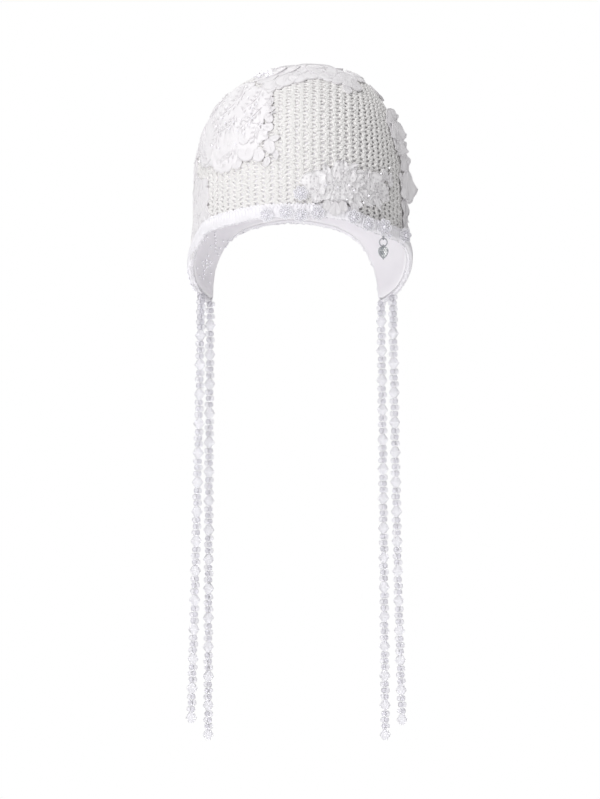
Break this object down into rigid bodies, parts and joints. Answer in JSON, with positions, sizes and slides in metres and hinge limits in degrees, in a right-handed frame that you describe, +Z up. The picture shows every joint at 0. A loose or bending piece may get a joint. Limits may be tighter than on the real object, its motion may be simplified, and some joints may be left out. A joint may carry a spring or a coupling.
{
  "type": "lace crochet bonnet with beaded ties",
  "caption": "Crocheted bonnet with ear flaps, lace patches, a jersey lining, a hem with beaded rosettes, long crystal bead ties and a small silver heart charm.",
  "frame": {"origin": "centre of the head opening, at the height of the hem over the forehead", "axes": "+Z up through the crown, the front faces -Y, +X is the side with the charm"},
  "size_m": [0.1904, 0.2034, 0.5717],
  "materials": {
    "yarn": "matt ivory cotton crochet",
    "lace": "cool white corded lace",
    "jersey": "smooth pale grey jersey",
    "crystal": "faceted clear crystal",
    "silver": "polished silver"
  },
  "bodies": {
    "root": {"charm_eyelet": "silver", "crochet_crown": "yarn", "heart_charm": "silver", "hem_band": "lace", "jump_ring": "silver", "lace_front": "lace", "lace_left": "lace", "lace_top": "lace", "lining": "jersey", "petal_side_1": "lace", "petal_side_2": "lace", "petal_side_3": "lace", "petal_side_4": "lace", "petal_side_5": "lace", "rosette_1": "crystal", "rosette_2": "crystal", "rosette_3": "crystal", "rosette_4": "crystal", "rosette_5": "crystal", "rosette_6": "crystal", "rosette_7": "crystal", "rosette_8": "crystal", "rosette_9": "crystal", "strand_left_front": "crystal", "strand_left_rear": "crystal", "strand_right_front": "crystal", "strand_right_rear": "crystal", "tab_left_front": "lace", "tab_left_rear": "lace", "tab_right_front": "lace", "tab_right_rear": "lace"}
  },
  "joints": []
}
